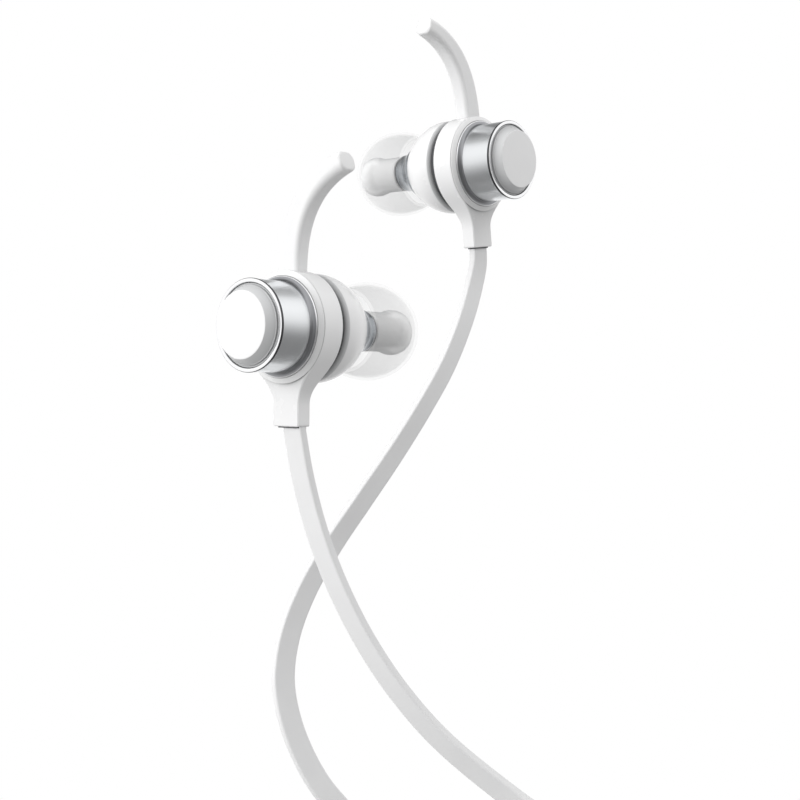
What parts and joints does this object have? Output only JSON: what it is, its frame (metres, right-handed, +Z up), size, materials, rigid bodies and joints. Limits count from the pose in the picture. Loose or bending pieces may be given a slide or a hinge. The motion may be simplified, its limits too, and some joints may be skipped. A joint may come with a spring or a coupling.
{
  "type": "neckband earphones",
  "caption": "In-ear earpieces with hooked ear wings on flat cords, led to the two pods of a sprung neckband with buttons and a covered charge port.",
  "frame": {"origin": "centre of the neck opening at the neckband's mid height", "axes": "+Z up, +X out of the neckband's open front, -Y the wearer's right"},
  "size_m": [0.1554, 0.1344, 0.1805],
  "materials": {
    "satin_white": "satin",
    "gloss_white": "gloss",
    "satin_silver": "satin turned",
    "chrome": "polished",
    "white_silicone": "soft satin",
    "clear_silicone": "clear soft satin",
    "cord_skin": "smooth satin",
    "dark_rubber": "matte",
    "plated_steel": "plated",
    "board_green": "solder mask",
    "cell_wrap": "foil wrap"
  },
  "bodies": {
    "neckband_back": {"band_centre": "white_silicone", "band_centre_core": "plated_steel", "right_back_cap": "satin_white", "right_barrel": "satin_silver", "right_back_magnet": "plated_steel", "right_driver_magnet": "plated_steel", "right_driver": "plated_steel", "right_ring_housing": "gloss_white", "right_ear_wing": "white_silicone", "right_cord_grommet": "white_silicone", "right_joint_seal": "dark_rubber", "right_nozzle_shell": "gloss_white", "right_nozzle_bell": "chrome", "right_nozzle_tube": "satin_white", "right_nozzle_mesh": "plated_steel", "right_cord": "cord_skin", "left_back_cap": "satin_white", "left_barrel": "satin_silver", "left_back_magnet": "plated_steel", "left_driver_magnet": "plated_steel", "left_driver": "plated_steel", "left_ring_housing": "gloss_white", "left_ear_wing": "white_silicone", "left_cord_grommet": "white_silicone", "left_joint_seal": "dark_rubber", "left_nozzle_shell": "gloss_white", "left_nozzle_bell": "chrome", "left_nozzle_tube": "satin_white", "left_nozzle_mesh": "plated_steel", "left_cord": "cord_skin"},
    "right_arm": {"right_band_arm": "white_silicone", "right_band_core": "plated_steel", "right_pod_upper_shell": "gloss_white", "right_pod_lower_shell": "gloss_white", "right_pod_rear_trim": "satin_silver", "right_pod_front_trim": "satin_silver", "right_cord_strain_relief": "white_silicone", "control_board": "board_green", "volume_down_switch": "plated_steel", "call_switch": "plated_steel", "volume_up_switch": "plated_steel", "status_light": "clear_silicone", "microphone": "plated_steel", "charge_socket": "chrome"},
    "left_arm": {"left_band_arm": "white_silicone", "left_band_core": "plated_steel", "left_pod_upper_shell": "gloss_white", "left_pod_lower_shell": "gloss_white", "left_pod_rear_trim": "satin_silver", "left_pod_front_trim": "satin_silver", "left_cord_strain_relief": "white_silicone", "battery": "cell_wrap", "vibration_motor": "plated_steel"},
    "right_ear_tip": {"right_ear_tip": "clear_silicone"},
    "left_ear_tip": {"left_ear_tip": "clear_silicone"},
    "volume_down_button": {"volume_down_button": "white_silicone"},
    "call_button": {"call_button": "white_silicone"},
    "volume_up_button": {"volume_up_button": "white_silicone"},
    "charge_port_cover": {"charge_port_cover": "white_silicone"}
  },
  "joints": [
    {"name": "right_arm_spread", "type": "hinge", "parent": "neckband_back", "child": "right_arm", "pos_m": [-0.03891, -0.0498, 0], "axis": [0, 0, -1], "range_deg": [0, 12], "deforming": ["right_cord"]},
    {"name": "left_arm_spread", "type": "hinge", "parent": "neckband_back", "child": "left_arm", "pos_m": [-0.03891, 0.0498, 0], "axis": [0, 0, 1], "range_deg": [0, 12], "deforming": ["left_cord"]},
    {"name": "right_ear_tip_pull", "type": "slide", "parent": "neckband_back", "child": "right_ear_tip", "axis": [0.6455, 0.7638, 0], "range_m": [0, 0.009]},
    {"name": "left_ear_tip_pull", "type": "slide", "parent": "neckband_back", "child": "left_ear_tip", "axis": [-0.7547, 0.6561, 0], "range_m": [0, 0.009]},
    {"name": "volume_down_press", "type": "slide", "parent": "right_arm", "child": "volume_down_button", "axis": [0, 0, -1], "range_m": [0, 0.0004], "stiffness_N_per_m": 600},
    {"name": "call_press", "type": "slide", "parent": "right_arm", "child": "call_button", "axis": [0, 0, -1], "range_m": [0, 0.0004], "stiffness_N_per_m": 600},
    {"name": "volume_up_press", "type": "slide", "parent": "right_arm", "child": "volume_up_button", "axis": [0, 0, -1], "range_m": [0, 0.0004], "stiffness_N_per_m": 600},
    {"name": "charge_port_cover_open", "type": "hinge", "parent": "right_arm", "child": "charge_port_cover", "pos_m": [0.026, -0.06725, -0.00315], "axis": [1, 0, 0], "range_deg": [0, 110]}
  ]
}
